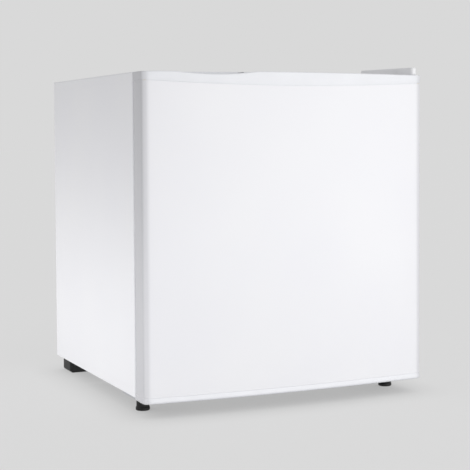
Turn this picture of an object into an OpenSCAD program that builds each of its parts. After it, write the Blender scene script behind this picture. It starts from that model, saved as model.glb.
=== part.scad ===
// Table-top refrigerator with an ice box, a wire condenser and a right-hinged door.
// Millimetres. +Z is up, the door faces -Y, and the floor is Z = 0 under the middle of the whole.
// Inside the modules Y counts backwards from the cabinet's front edge; place() then centres the whole.

/* [Cabinet] */
// Width over the steel wrap
cab_w = 456; // [400:1:560]
// Depth from the front edge to the rear edge of the wrap
cab_d = 397; // [350:1:480]
// Height of the cabinet's top above the floor
cab_top = 493; // [450:1:600]
// Height of the cabinet's underside above the floor
cab_base = 25; // [20:1:40]
// Thickness of the painted steel sheet
steel = 0.8; // [0.6:0.1:1.2]
// Outer radius of the folds in the wrap
fold_r = 2.5; // [1.5:0.1:4]
// Width of the wrap's folded front edge
front_fold = 14; // [10:1:18]
// Width of the wrap's folded rear and bottom edges
rear_fold = 12; // [8:1:18]

/* [Insulation and liner] */
// Distance from the wrap to the room inside, at the sides
wall_side = 38; // [30:1:48]
// Distance from the top of the wrap to the room inside
wall_top = 41; // [32:1:50]
// Distance from the underside to the room inside
wall_floor = 37; // [30:1:45]
// Distance from the rear edge to the room inside
wall_rear = 47; // [40:1:60]
// Thickness of the plastic liner
liner_t = 1.5; // [1:0.1:2]
// Corner radius of the room inside
room_r = 14; // [8:1:24]
// Reach of a moulded shelf ledge
ledge_out = 8; // [6:0.5:10]
// Height of a moulded shelf ledge
ledge_h = 7; // [6:0.5:9]

/* [Compressor bay] */
// Chamfer where the bay's ceiling meets its front
bay_chamfer = 22; // [10:1:40]
// Foam between the bay and the room inside
bay_wall = 29; // [22:1:36]
// Radius of the compressor's pot
pot_r = 62; // [50:1:64]
// Height of the compressor's pot
pot_h = 124; // [100:1:128]

/* [Condenser] */
// Number of level passes of the condenser tube
passes = 10; // [6:2:12]
// Height between two passes
pass_pitch = 26; // [20:1:28]
// Outside radius of the condenser tube
cond_r = 2.4; // [2:0.1:3]
// Distance from the rear edge of the wrap to the middle of the condenser tube
cond_gap = 12; // [9:0.5:16]
// Radius of a condenser wire
wire_r = 0.8; // [0.6:0.1:1]
// Distance between two condenser wires
wire_pitch = 12; // [10:1:16]
// Distance that the wall spacers stand out behind the wrap
spacer_out = 21; // [18:1:26]

/* [Door] */
// Distance that the door stands out beyond each side of the cabinet
door_over = 2; // [1:0.5:4]
// Height of the door's underside above the floor
door_base = 22; // [18:1:36]
// Gap between the cabinet and the door's inner face
door_gap = 6; // [5:0.5:8]
// Distance from the cabinet's front edge to the middle of the door's bowed front
door_out = 53.5; // [48:0.5:64]
// Radius of the door's bowed front
bow_r = 2500; // [1600:10:4000]
// Radius of the door's upright front corners
corner_r = 8; // [6:0.5:12]
// Height of the top cap at the door's ends
cap_end = 12; // [12:0.5:15]
// Height of the top cap in the middle of the door
cap_mid = 18.5; // [16:0.5:24]
// Height of the bottom cap
cap_low = 9; // [9:0.5:14]
// Wall of the moulded caps
cap_wall = 2.2; // [1.8:0.1:2.6]
// Distance that the caps stand proud of the door's steel skin
cap_proud = 1; // [0.6:0.1:1.5]
// Reach of the door liner's raised frame into the room
dike_out = 28; // [20:1:30]
// Width of the door liner's raised frame
dike_w = 22; // [18:1:26]
// Clearance between the raised frame and the room's sides
dike_side = 18; // [16:1:24]
// Length of the grip pocket in the top cap
grip_l = 104; // [80:1:120]
// Depth of the dip in the top cap's front lip, before the grip pocket
grip_dip = 3; // [2:0.1:4]

/* [Hinges and feet] */
// Distance of the hinge axis from the door's end
pin_in = 8; // [8:0.5:12]
// Distance of the hinge axis in front of the cabinet
pin_out = 22; // [20:0.5:26]
// Radius of the hinge pins
pin_r = 3; // [2.5:0.1:3.5]
// Thickness of the hinge plates
hinge_t = 2.5; // [2:0.1:3]
// Height of the upper hinge cover
cover_h = 12; // [11:0.5:16]
// Radius of a levelling foot at its base
foot_r = 10.5; // [8:0.5:12]
// Distance of the levelling feet from the cabinet's sides
foot_in = 22; // [20:1:30]
// Distance of the levelling feet from the cabinet's front
foot_back = 28; // [22:1:40]

/* [Ice box] */
// Width of the evaporator
ice_w = 244; // [200:1:260]
// Height of the evaporator
ice_h = 104; // [90:1:105]
// Distance of the evaporator's mouth from the cabinet's front
ice_y = 134; // [128:1:150]
// Thickness of the evaporator's aluminium
ice_t = 1.5; // [1.2:0.1:2]
// Thickness of the flap
flap_t = 4; // [3:0.5:5]

/* [Inside fittings] */
// Radius of a shelf wire
rod_r = 1.4; // [1.2:0.1:2]
// Radius of the shelf's frame rods
frame_r = 2.5; // [2:0.1:3]
// Distance between two shelf wires
rod_pitch = 18; // [12:1:24]
// Depth of the drip tray
tray_h = 22; // [14:1:24]
// Wall of the moulded tray and racks
rack_t = 2; // [1.6:0.1:2.4]
// Reach of the door racks behind the cabinet's front edge
rack_out = 86; // [70:1:88]
// Height of the bottle rack
bottle_h = 66; // [50:1:70]
// Height of the can rack
can_h = 52; // [40:1:54]
// Radius of the thermostat knob
knob_r = 16; // [12:0.5:18]

/* [Hidden] */
$fn = 48;

white = [0.96, 0.96, 0.97];
liner_white = [0.93, 0.94, 0.95];
foam_cream = [0.92, 0.86, 0.66];
zinc = [0.72, 0.73, 0.75];
copper = [0.72, 0.43, 0.28];
black = [0.08, 0.08, 0.09];
alu = [0.8, 0.81, 0.83];

big = 1000;                                  // longer than any piece
fit = 0.05;                                  // running clearance round a pin or shaft
slack = 0.2;                                 // clearance of pieces that are pushed together
room_w = cab_w - 2 * wall_side;              // the room inside the liner
room_x = room_w / 2;
room_low = cab_base + wall_floor;
room_high = cab_top - wall_top;
room_d = cab_d - wall_rear;
door_w = cab_w + 2 * door_over;
bay_d = 2 * pot_r + 26;                      // depth of the compressor bay
bay_top = cab_base + pot_h + 29;             // ceiling of the compressor bay
bay_y = cab_d - bay_d;                       // front of the compressor bay
step_y = bay_y - bay_wall;                   // front of the step in the room's floor
step_z = bay_top + bay_wall;                 // top of that step
shelf_z = step_z + 5;                        // top of the shelf's ledges
can_z = shelf_z + 24;                        // floor of the can rack
inner_x = cab_w / 2 - steel;                 // inner face of the wrap's sides
plate_z = cab_base + steel;                  // pieces that lie on the wrap's bottom folds
mid_y = (cab_d + spacer_out - door_out) / 2; // middle of the whole, front to back

door_top = cab_top - 0.8;
seam_z = door_top - cap_mid;                 // lowest point of the top cap's curved seam
seam_s = cap_mid - cap_end;
seam_r = (pow(door_w / 2, 2) + pow(seam_s, 2)) / (2 * seam_s);
dip_half = grip_l / 2 + 2;                    // half the length of the dip, a little over the pocket's
dip_r = (pow(dip_half, 2) + pow(grip_dip, 2)) / (2 * grip_dip);
skin_low = door_base + cap_low;
skin_g = cap_proud + steel;                  // inner face of the door's skin, from the caps' outline
bow_y = bow_r - door_out;                    // centre of the bow
corner_x = door_w / 2 - corner_r;            // centre of the upright corner
corner_y = bow_y - sqrt(pow(bow_r - corner_r, 2) - pow(corner_x, 2));
pin_x = door_w / 2 - pin_in;
skin_fold = rear_fold + 2;                   // edges folded in behind the door's foam
back_x = door_w / 2 - skin_fold - slack;     // half of the top cap's back, between those folds
flange_y = door_gap + liner_t;               // back of the door liner's rim
dike_x = room_x - dike_side;
dike_low = room_low + 14;
dike_high = room_high - 22;
well_x = dike_x - dike_w;                    // the hollow between the raised frame's sides
well_low = dike_low + 16;
well_high = dike_high - 16;
well_y = door_gap + 4;
ridge_w = 14;                                // upright ridge that carries the can rack's inner end
ridge_out = 16;
bottle_z = well_low + 1;                     // floor of the bottle rack
lug_r = 4;
lug_y = 6;
lug_out = 1.6;

foot_x = cab_w / 2 - foot_in;
foot_h = cab_base - hinge_t - 0.2;
stud_r = 4;
bush_r = 5.5;
boss_r = 7.2;
pin_deep = 9.3;                              // length of a hinge pin inside the door

ice_x = -room_x + 11;                        // left end of the evaporator
ice_top = room_high - 8;
ice_low = ice_top - ice_h;
tray_z = ice_low - 14;                       // top of the drip tray's ledges
ice_back = room_d - 12;
ice_r = 12;
flap_axis_y = ice_y - 5.5;
flap_axis_z = ice_top - 4;
flap_len = ice_h - 10;
knuckle_r = 3.5;
flap_pin_r = 2;
ear_t = 4;
bezel_t = 3;

gasket_in = 6;                               // gasket inner edge from the room's edge
gasket_w = 15;

rib_seat = 0.2;                              // slides rest this far above their ledges
shelf_front = 100;
shelf_back = room_d - 8;
tray_front = 112;
tray_back = room_d - 15;

// Centres everything over the floor, front to back
module place() translate([0, -mid_y, 0]) children();

// Rounded rectangle from its lower left corner
module rounded(w, h, r) {
  translate([r, 0]) square([w - 2 * r, h]);
  translate([0, r]) square([w, h - 2 * r]);
  for (x = [r, w - r], y = [r, h - r]) translate([x, y]) circle(r);
}

// Box between two corners
module span(a, b) translate(a) cube(b - a);

// Front-view shape (X, Z) carried from y0 back to y1
module along_y(y0, y1) translate([0, y1, 0]) rotate([90, 0, 0]) linear_extrude(y1 - y0) children();

// Side-view shape (Y, Z) carried from x0 to x1
module along_x(x0, x1) translate([x0, 0, 0]) rotate([90, 0, 90]) linear_extrude(x1 - x0) children();

// Plan shape (X, Y) carried from z0 up to z1
module along_z(z0, z1) translate([0, 0, z0]) linear_extrude(z1 - z0) children();

// Block with rounded edges along Y, centred on X
module bar_y(w, z0, z1, y0, y1, r) along_y(y0, y1) translate([-w / 2, z0]) rounded(w, z1 - z0, r);

// Ring round the bar above, t thick inwards
module ring_y(w, z0, z1, y0, y1, r, t) difference() {
  bar_y(w, z0, z1, y0, y1, r);
  bar_y(w - 2 * t, z0 + t, z1 - t, y0 - 1, y1 + 1, max(r - t, 0.5));
}

function unit(v) = v / norm(v);
function turn(a, b) = acos(max(-1, min(1, a * b)));

// Straight stretch of tube
module leg(p, q, r) {
  d = q - p;
  if (norm(d) > 0.01)
    translate(p) rotate([0, acos(d[2] / norm(d)), atan2(d[1], d[0])]) cylinder(r = r, h = norm(d));
}

// Round bend of a tube at the corner p, from direction a to direction b
module elbow(p, a, b, r, bend) {
  m = unit(b - (a * b) * a);
  c = p - a * bend * tan(turn(a, b) / 2) + m * bend;
  n = cross(-m, a);
  multmatrix([[-m[0], a[0], n[0], c[0]], [-m[1], a[1], n[1], c[1]], [-m[2], a[2], n[2], c[2]], [0, 0, 0, 1]])
    rotate_extrude(angle = turn(a, b)) translate([bend, 0]) circle(r, $fn = 24);
}

// Tube of radius r through the corners p, each rounded to the radius bend
module tube(p, r, bend) {
  n = len(p) - 1;
  u = [for (i = [1:n]) unit(p[i] - p[i - 1])];
  trim = [for (i = [0:n]) i == 0 || i == n ? 0 : bend * tan(turn(u[i - 1], u[i]) / 2)];
  for (i = [1:n]) leg(p[i - 1] + u[i - 1] * trim[i - 1], p[i] - u[i - 1] * trim[i], r, $fn = 24);
  for (i = [1:1:n - 1]) elbow(p[i], u[i - 1], u[i], r, bend);
}

// Pan-head screw with its head at z = 0 upwards and its shank below
module screw(shank, head = 4.2, r = 2) {
  translate([0, 0, -shank]) cylinder(r = r, h = shank + 0.5);
  rotate_extrude() intersection() {
    translate([0, -6.2]) circle(8.6, $fn = 96);
    square([head, 4]);
  }
}

// ---------- cabinet ----------

// The wrap's outer form, inset by g all round, from the height low upwards
module wrap_form(g, low) {
  w = cab_w - 2 * g;
  r = fold_r - g;
  intersection() {
    along_z(low, cab_top) translate([-w / 2, g]) rounded(w, cab_d - 2 * g, r);
    bar_y(w, low - 50, cab_top - g, -1, cab_d + 1, r);
    along_x(-w / 2, w / 2) translate([g, low - 50]) rounded(cab_d - 2 * g, cab_top - g - low + 50, r);
  }
}

// One folded sheet: left side, top and right side
module outer_wrap() color(white) place() difference() {
  wrap_form(0, cab_base);
  wrap_form(steel, plate_z);
  span([-cab_w / 2 + front_fold, -1, 0], [cab_w / 2 - front_fold, 2 * steel, cab_top - front_fold]);
  span([-cab_w / 2 + rear_fold, cab_d - 2 * steel, 0], [cab_w / 2 - rear_fold, cab_d + 1, cab_top - rear_fold]);
  span([-cab_w / 2 + rear_fold, -1, 0], [cab_w / 2 - rear_fold, cab_d + 1, cab_base + 2 * steel]);
  upper_screw_places() translate([0, 0, -30]) cylinder(r = 2 + slack, h = 40);
  plug_places() translate([0, 0, -6]) cylinder(r = 3 + slack, h = 12);
  lower_screw_places() translate([0, 0, -10]) cylinder(r = 2 + slack, h = 40);
  foot_places() translate([0, 0, -10]) cylinder(r = stud_r + 1, h = 30);
}

// Flat rear sheet with its lower edge folded in over the bay
module rear_panel() color(zinc) place() difference() {
  half = cab_w / 2 - fold_r - slack;
  union() {
    span([-half, cab_d - 2 * steel, bay_top], [half, cab_d - steel, cab_top - fold_r - slack]);
    span([-half, cab_d - 2 * steel - 8, bay_top], [half, cab_d - 2 * steel, bay_top + steel]);
  }
  clip_places() rotate([90, 0, 0]) translate([0, 0, -1]) cylinder(r = 1.6, h = 6, center = true);
}

// Underside of the cabinet, with its front edge turned up
module bottom_panel() color(zinc) place() difference() {
  union() {
    span([-inner_x, steel, plate_z], [inner_x, bay_y, plate_z + steel]);
    span([-cab_w / 2 + front_fold + slack, 0, plate_z], [cab_w / 2 - front_fold - slack, steel, plate_z + 18]);
  }
  lower_screw_places() translate([0, 0, -10]) cylinder(r = 2 + slack, h = 60);
  foot_places() translate([0, 0, -10]) cylinder(r = stud_r + 1, h = 40);
}

// Side view of the compressor bay, grown by g
module bay_shape(g) {
  k = sqrt(2) - 1;
  polygon([
    [bay_y - g, plate_z - 1], [cab_d + 1, plate_z - 1], [cab_d + 1, bay_top + g],
    [bay_y + bay_chamfer - k * g, bay_top + g], [bay_y - g, bay_top - bay_chamfer + k * g],
  ]);
}

// Folded sheet that forms the bay's front and ceiling
module bay_panel() color(zinc) place() difference() {
  along_x(-inner_x + slack, inner_x - slack) difference() {
    union() {
      bay_shape(steel);
      translate([bay_y - steel - 10, plate_z + steel]) square([10, steel]);
    }
    bay_shape(0);
    translate([0, 0]) square([cab_d, plate_z + steel]);
    translate([cab_d - 2 * steel - 8, bay_top - 1]) square([20, 4]);
  }
  pipe_routes(slack);
}

// The room inside the liner, grown by g into the foam
module room(g) difference() {
  intersection() {
    along_x(-room_x - g, room_x + g) {
      translate([-20, step_z - g]) rounded(room_d + g + 20, room_high - step_z + 2 * g, room_r + g);
      translate([-20, room_low - g]) rounded(step_y + g + 20, room_high - room_low + 2 * g, room_r + g);
    }
    bar_y(room_w + 2 * g, room_low - g, room_high + g, -2, room_d + g, room_r + g);
    along_z(room_low - g, room_high + g) translate([-room_x - g, -60])
      rounded(room_w + 2 * g, room_d + g + 60, room_r + g);
  }
  for (s = [-1, 1], z = [shelf_z, tray_z]) ledge(s, z, g);
}

// Ledge moulded in the liner's side, its top at height z
module ledge(s, z, g) {
  r = ledge_h / 2 - g;
  nose = room_x - ledge_out + r + g;
  for (y = [24, room_d - 16]) translate([s * nose, y, z - ledge_h / 2]) sphere(r);
  translate([s * nose, 24, z - ledge_h / 2]) rotate([-90, 0, 0]) cylinder(r = r, h = room_d - 40);
  translate([s > 0 ? nose : -nose - 40, 24, z - g - 2 * r]) cube([40, room_d - 40, 2 * r]);
  for (y = [24, room_d - 16]) translate([s > 0 ? nose : -nose - 40, y, z - ledge_h / 2])
    rotate([0, 90, 0]) cylinder(r = r, h = 40);
}

// Vacuum-formed liner with a flat rim behind the folded front edges
module inner_liner() color(liner_white) place() difference() {
  union() {
    intersection() {
      room(liner_t);
      span([-big, steel, 0], [big, big, big]);
    }
    bar_y(cab_w - 12, cab_base + 8, cab_top - 6, steel, steel + liner_t, 4);
  }
  room(0);
  pipe_routes(slack);
  evaporator_screw_places() translate([0, 0, -20]) cylinder(r = 1.6, h = 60);
  thermostat_stud();
}

// Foam between the wrap, the liner and the bay
module foam_insulation() color(foam_cream) place() difference() {
  intersection() {
    wrap_form(steel, plate_z + steel);
    span([-big, steel + liner_t, plate_z + steel], [big, cab_d - 2 * steel, big]);
  }
  room(liner_t);
  along_x(-big, big) bay_shape(steel);
  span([-big, bay_y - 11, 0], [big, bay_y, plate_z + 2 * steel]);
  span([-big, cab_d - 2 * steel - 8, 0], [big, cab_d, bay_top + steel]);
  pipe_routes(0);
  upper_screw_places() translate([0, 0, -16]) cylinder(r = 2, h = 30);
  lower_screw_places() translate([0, 0, -1]) cylinder(r = 2, h = 15);
  foot_places() translate([0, 0, -1]) cylinder(r = 8, h = 12 + steel);
  evaporator_screw_places() translate([0, 0, -20]) cylinder(r = 1.6, h = 34);
  plug_places() translate([0, 0, -6]) cylinder(r = 3.2, h = 12);
  thermostat_stud();
}

// ---------- hinges, feet and covers ----------

// Upper hinge's screws, from the cabinet's side and front
hinge_holes = [[16, 14], [22, 38], [26, 62]];

module upper_screw_places() for (p = hinge_holes)
  translate([cab_w / 2 - p[0], p[1], cab_top + hinge_t]) children();

module lower_screw_places() for (s = [-1, 1], y = [10, 52])
  translate([s * (cab_w / 2 - 40), y, plate_z]) children();

module foot_places() for (s = [-1, 1]) translate([s * foot_x, foot_back, plate_z]) children();

module plug_places() for (p = hinge_holes)
  translate([-cab_w / 2 + p[0], p[1], cab_top]) children();

// Plate on the cabinet's top that reaches over the door, with its pin pointing down
module upper_hinge() color(zinc) place() difference() {
  union() {
    along_z(cab_top, cab_top + hinge_t) hull() {
      translate([pin_x, -pin_out]) circle(5, $fn = 32);
      for (x = [cab_w / 2 - 31, cab_w / 2 - 4]) translate([x, 66]) circle(3, $fn = 32);
    }
    translate([pin_x, -pin_out, door_top - pin_deep]) cylinder(r = pin_r, h = pin_deep + 2);
  }
  upper_screw_places() translate([0, 0, -10]) cylinder(r = 2 + slack, h = 20);
}

// Side view of a plate under the cabinet that steps down in front to pass below the door
module hinge_side() {
  low = door_base - 0.7 - hinge_t;
  polygon([
    [62, cab_base], [1.5, cab_base], [-4.5, low + hinge_t], [-30, low + hinge_t], [-30, low],
    [-3.5, low], [2.5, cab_base - hinge_t], [62, cab_base - hinge_t],
  ]);
}

// Plate under the cabinet that carries the door's lower pin and the right foot
module lower_hinge() color(zinc) place() difference() {
  union() {
    intersection() {
      along_x(cab_w / 2 - 50, cab_w / 2) hinge_side();
      along_z(0, cab_base) hull() {
        translate([pin_x, -pin_out]) circle(7, $fn = 32);
        translate([cab_w / 2 - 7, -4]) circle(6, $fn = 32);
        for (x = [cab_w / 2 - 46, cab_w / 2 - 5], y = [6, 56]) translate([x, y]) circle(4, $fn = 32);
      }
    }
    translate([pin_x, -pin_out, door_base - 0.7 - hinge_t]) cylinder(r = pin_r, h = hinge_t + 0.7 + pin_deep - 1);
  }
  lower_screw_places() translate([0, 0, -10]) cylinder(r = 2 + slack, h = 20);
  foot_places() translate([0, 0, -10]) cylinder(r = stud_r + slack, h = 20);
}

// Plain plate that carries the left foot
module left_foot_plate() color(zinc) place() difference() {
  along_z(cab_base - hinge_t, cab_base) translate([-cab_w / 2 + 1, 2]) rounded(49, 58, 4);
  lower_screw_places() translate([0, 0, -10]) cylinder(r = 2 + slack, h = 20);
  foot_places() translate([0, 0, -10]) cylinder(r = stud_r + slack, h = 20);
}

// Plan of the upper hinge cover, inset by g: it narrows to a round nose over the door
module cover_plan(g) hull() {
  translate([cab_w / 2 - 34, 74]) circle(4 - g, $fn = 32);
  translate([cab_w / 2 - 3, 74]) circle(4 - g, $fn = 32);
  translate([pin_x - 0.5, -31]) circle(6.5 - g, $fn = 32);
  translate([pin_x + 1, -31]) circle(6.5 - g, $fn = 32);
}

// Moulded cover over the upper hinge
module hinge_cover() color(white) place() difference() {
  union() {
    along_z(cab_top, cab_top + cover_h - 1.5) cover_plan(0);
    hull() {
      along_z(cab_top + cover_h - 1.6, cab_top + cover_h - 1.5) cover_plan(0);
      along_z(cab_top + cover_h - 0.1, cab_top + cover_h) cover_plan(1.5);
    }
  }
  along_z(cab_top - 1, cab_top + cover_h - 1.8) cover_plan(1.5);
}

module hinge_screws() color(zinc) place() {
  upper_screw_places() screw(16);
  lower_screw_places() translate([0, 0, -hinge_t - steel]) mirror([0, 0, 1]) screw(hinge_t + 2 * steel + 12);
}

// Plugs in the spare hinge holes at the cabinet's top left
module hole_plugs() color(white) place() plug_places() {
  rotate_extrude() intersection() {
    translate([0, -11]) circle(12.5, $fn = 96);
    square([6, 2]);
  }
  translate([0, 0, -6]) cylinder(r = 3, h = 6.5);
}

// Threaded inserts that the levelling feet screw into
module foot_inserts() color(zinc) place() foot_places() translate([0, 0, steel]) difference() {
  cylinder(r = 8, h = 10);
  translate([0, 0, -1]) cylinder(r = stud_r + fit, h = 12);
}

// Moulded foot on a threaded stud
module foot() {
  rotate_extrude() polygon([
    [0, 0], [foot_r - 1, 0], [foot_r, 1], [foot_r, 4], [foot_r - 1, 6], [foot_r - 1.2, foot_h - 4],
    [foot_r - 0.2, foot_h - 3], [foot_r - 0.2, foot_h], [0, foot_h],
  ]);
  cylinder(r = stud_r, h = foot_h + 14);
}

module left_foot() color(black) place() translate([-foot_x, foot_back, 0]) foot();
module right_foot() color(black) place() translate([foot_x, foot_back, 0]) foot();

// Fixed feet under the rear corners, hollow from behind
module rear_feet() color(black) place() for (s = [0, 1]) mirror([s, 0, 0])
  translate([-cab_w / 2 + 10, cab_d - 47, 0]) difference() {
    union() {
      intersection() {
        along_y(0, 44) rounded(32, cab_base, 5);
        along_z(0, cab_base) rounded(32, 44, 5);
      }
      along_z(cab_base - 2, plate_z) translate([5, 5]) rounded(22, 34, 4);
    }
    along_y(4, 45) translate([5, 6]) rounded(22, cab_base - 11, 3);
  }

// ---------- compressor bay ----------

pot_x = 30;
pot_y = cab_d - bay_d / 2;
base_z = plate_z + 1.5;                      // top of the crossmember's floor
pot_z = base_z + 13;                         // underside of the compressor's plate
weld_z = pot_z + pot_h * 0.5;
mount_x = pot_r + 12;
mount_y = pot_r - 18;
plate_rim = 12;                              // plate beyond the middles of the grommets
cross_in = 6;                                // crossmember inside the wrap's rear edge
cross_d = bay_d - 14;
cross_h = 15;
cross_t = 1.5;

module mount_places() for (sx = [-1, 1], sy = [-1, 1])
  translate([pot_x + sx * mount_x, pot_y + sy * mount_y, base_z]) children();

// Channel across the bay that carries the compressor
module crossmember() color(zinc) place() difference() {
  along_x(-inner_x, inner_x) difference() {
    translate([cab_d - cross_in - cross_d, plate_z]) rounded(cross_d, cross_h, 2);
    translate([cab_d - cross_in - cross_d + cross_t, plate_z + cross_t])
      rounded(cross_d - 2 * cross_t, cross_h + 5, 0.6);
  }
  mount_places() translate([0, 0, -5]) cylinder(r = 3 + fit, h = 10);
  translate([-inner_x + 26, cab_d - 5, plate_z + 9]) rotate([90, 0, 0]) cylinder(r = 5, h = 6, center = true);
}

// Outline of half a pot from its rim at z = 0 up to its crown, t inside the outer face
module pot_half(h, t) {
  r = pot_r - t;
  f = 26 - t;
  square([r - f, h - t]);
  square([r, h - t - f]);
  translate([r - f, h - t - f]) circle(f, $fn = 64);
}

module pot_shell(h) rotate_extrude($fn = 96) difference() {
  union() {
    intersection() {
      pot_half(h, 0);
      square([pot_r, h]);
    }
    translate([pot_r - 2, 0]) square([5, 3]);
  }
  translate([0, -1]) intersection() {
    pot_half(h + 1, 3);
    square([pot_r, h + 1]);
  }
}

// Lower half of the pot, with the plate that stands on the grommets
module compressor_lower_shell() color(black) place() difference() {
  union() {
    translate([pot_x, pot_y, weld_z]) mirror([0, 0, 1]) pot_shell(weld_z - pot_z - 2);
    difference() {
      along_z(pot_z, pot_z + 3) translate([pot_x - mount_x - plate_rim, pot_y - mount_y - plate_rim])
        rounded(2 * (mount_x + plate_rim), 2 * (mount_y + plate_rim), 12);
      along_z(pot_z - 1, pot_z + 4) translate([pot_x, pot_y]) circle(pot_r - 30, $fn = 64);
    }
  }
  mount_places() cylinder(r = 6, h = 30);
}

module compressor_upper_shell() color(black) place() difference() {
  translate([pot_x, pot_y, weld_z]) pot_shell(pot_h * 0.5);
  tube(discharge_route, 2.5, 9);
}

// Motor and pump block on its spring seats, sealed inside the pot
module compressor_pump() color(zinc) place() translate([pot_x, pot_y, pot_z + 5]) {
  seat_h = 18;
  coil_h = pot_h - 84;                       // the motor, under its end ring and the pump block
  ring_h = 14;
  for (a = [45:90:359]) rotate(a) translate([24, 0, 0]) cylinder(r = 5, h = seat_h);
  translate([0, 0, seat_h]) cylinder(r = pot_r - 16, h = coil_h, $fn = 64);
  translate([0, 0, seat_h + coil_h]) cylinder(r = pot_r - 28, h = ring_h, $fn = 64);
  translate([-16, 18 - pot_r, seat_h + coil_h + ring_h]) cube([32, 2 * pot_r - 54, 18]);
}

module compressor_grommets() color(black) place() mount_places() rotate_extrude() difference() {
  union() {
    square([10, 13]);
    square([6, 17]);
    translate([0, 16]) square([9, 3]);
  }
  square([3 + fit, 20]);
}

module compressor_bolts() color(zinc) place() mount_places() {
  translate([0, 0, -1.5]) cylinder(r = 3, h = 24.5);
  translate([0, 0, 19]) cylinder(r = 8, h = 1);
  translate([0, 0, 20]) cylinder(r = 5.8, h = 5, $fn = 6);
}

// Terminal box clipped to the side of the pot
module relay_cover() color(black) place() difference() {
  along_z(weld_z - 34, weld_z - 6) translate([pot_x - pot_r - 30, pot_y - 27]) rounded(50, 54, 5);
  along_z(weld_z - 50, weld_z) translate([pot_x, pot_y]) circle(pot_r + slack, $fn = 96);
  translate([pot_x - pot_r - 27, pot_y - 24, weld_z - 35]) cube([60, 48, 26]);
}

// Rubber grommet for the mains lead in the crossmember's rear edge
module cable_inlet() color(black) place() translate([-inner_x + 26, cab_d - 10, plate_z + 9]) rotate([-90, 0, 0])
  rotate_extrude() difference() {
    union() {
      square([7.5, 2.5]);
      square([5, 5]);
      translate([0, 4]) square([7, 1.5]);
    }
    translate([0, -1]) square([3.4, 10]);
  }

// Tube routes: from the pot to the condenser, and from the evaporator back to the pot
cond_x = cab_w / 2 - 78;
cond_y = cab_d + cond_gap;
cond_low = bay_top + 32;
cond_high = cond_low + (passes - 1) * pass_pitch;
discharge_route = [
  [pot_x + 40, pot_y, weld_z + pot_h * 0.5 - 14], [pot_x + 96, pot_y, weld_z + pot_h * 0.5 - 14],
  [pot_x + 96, cab_d - 16, weld_z + pot_h * 0.5 - 14],
];
suction_x = -70;
suction_route = [
  [suction_x, ice_back, ice_low + 50], [suction_x, cab_d - 26, ice_low + 50],
  [suction_x, cab_d - 26, weld_z + 24], [suction_x, pot_y, weld_z + 24], [pot_x - pot_r - 0.5, pot_y, weld_z + 24],
];

// Holes that the tubes of the cooling circuit need in what they pass through
module pipe_routes(g) {
  tube(suction_route, 3.2 + g, 14);
  capillary_run(1.2 + g);
}

module capillary_run(r) tube([
  [suction_x + 9, ice_back, ice_low + 50], [suction_x + 9, cab_d - 26, ice_low + 50],
  [suction_x + 9, cab_d - 26, bay_top - 12], [drier_x, cab_d - 26, bay_top - 12], [drier_x, cab_d - 26, drier_top],
], r, 6);

drier_x = cab_w / 2 - 48;
drier_top = bay_top - 34;

module suction_pipe() color(copper) place() tube(suction_route, 3.2, 14);
module discharge_pipe() color(copper) place() tube(discharge_route, 2.5, 9);
module capillary_tube() color(copper) place() capillary_run(1.2);

// Copper drier with necked ends
module filter_drier() color(copper) place() translate([drier_x, cab_d - 26, drier_top - 84]) rotate_extrude()
  polygon([[0, 0], [3, 0], [3, 6], [9, 14], [9, 70], [3, 78], [3, 84], [0, 84]]);

// ---------- condenser ----------

function pass_points(i) = let (z = cond_low + i * pass_pitch, s = i % 2 == 0 ? -1 : 1)
  [[s * cond_x, cond_y, z], [-s * cond_x, cond_y, z]];

condenser_route = concat(
  [discharge_route[2], [pot_x + 96, cond_y, discharge_route[2][2]]],
  [[pot_x + 96, cond_y, cond_low - pass_pitch], [-cond_x, cond_y, cond_low - pass_pitch]],
  [for (i = [0:passes - 1], p = pass_points(i)) p],
  [[-cond_x, cond_y, cond_high + pass_pitch], [drier_x, cond_y, cond_high + pass_pitch]],
  [[drier_x, cond_y, drier_top - 100], [drier_x, cab_d - 26, drier_top - 100], [drier_x, cab_d - 26, drier_top - 84]]
);

module condenser_tube() color(black) place() tube(condenser_route, cond_r, pass_pitch / 2);

// Wires welded to both sides of the tube's level passes
module condenser_wires() color(black) place() {
  n = floor(cond_x / wire_pitch);
  for (i = [-n:n], s = [-1, 1]) translate([i * wire_pitch, cond_y + s * (cond_r + wire_r - 0.1), cond_low - 10])
    cylinder(r = wire_r, h = cond_high - cond_low + 20, $fn = 16);
}

clip_x = (floor(cond_x / wire_pitch) - 1.5) * wire_pitch;
clip_w = wire_pitch - 2 * wire_r - 1.4;

module clip_places() for (s = [-1, 1], i = [1, passes - 2])
  translate([s * clip_x, cab_d - steel, cond_low + i * pass_pitch - 15]) children();

// Plastic clips that hold the tube off the rear panel and keep it off the wall
module condenser_clips() color(black) place() clip_places() difference() {
  union() {
    along_x(-clip_w / 2, clip_w / 2) difference() {
      translate([0, 5]) rounded(spacer_out + steel, 22, 2.5);
      translate([cond_gap + steel, 15]) circle(cond_r);
      translate([4, 20.5]) rounded(spacer_out - 8, 3.5, 1);
    }
    translate([-clip_w / 2, 0, -6]) cube([clip_w, 2.5, 14]);
  }
  rotate([90, 0, 0]) cylinder(r = 1.6, h = 20, center = true);
}

module condenser_screws() color(zinc) place() clip_places()
  translate([0, 2.5, 0]) rotate([-90, 0, 0]) screw(3.3, 3.2, 1.5);

// ---------- ice box ----------

module evaporator_screw_places() for (x = [ice_x + 30, ice_x + ice_w - 30], y = [ice_y + 39, ice_y + 159])
  translate([x, y, room_high]) children();

// Closed loop of refrigerant channel round the evaporator at depth y
module channel_loop(y) {
  m = ice_r;
  c = [[ice_x + ice_w / 2, y, ice_low], [ice_x, y, ice_low], [ice_x, y, ice_top], [ice_x + ice_w, y, ice_top],
       [ice_x + ice_w, y, ice_low], [ice_x + ice_w / 2, y, ice_low]];
  tube(c, 2.4, m);
}

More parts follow.
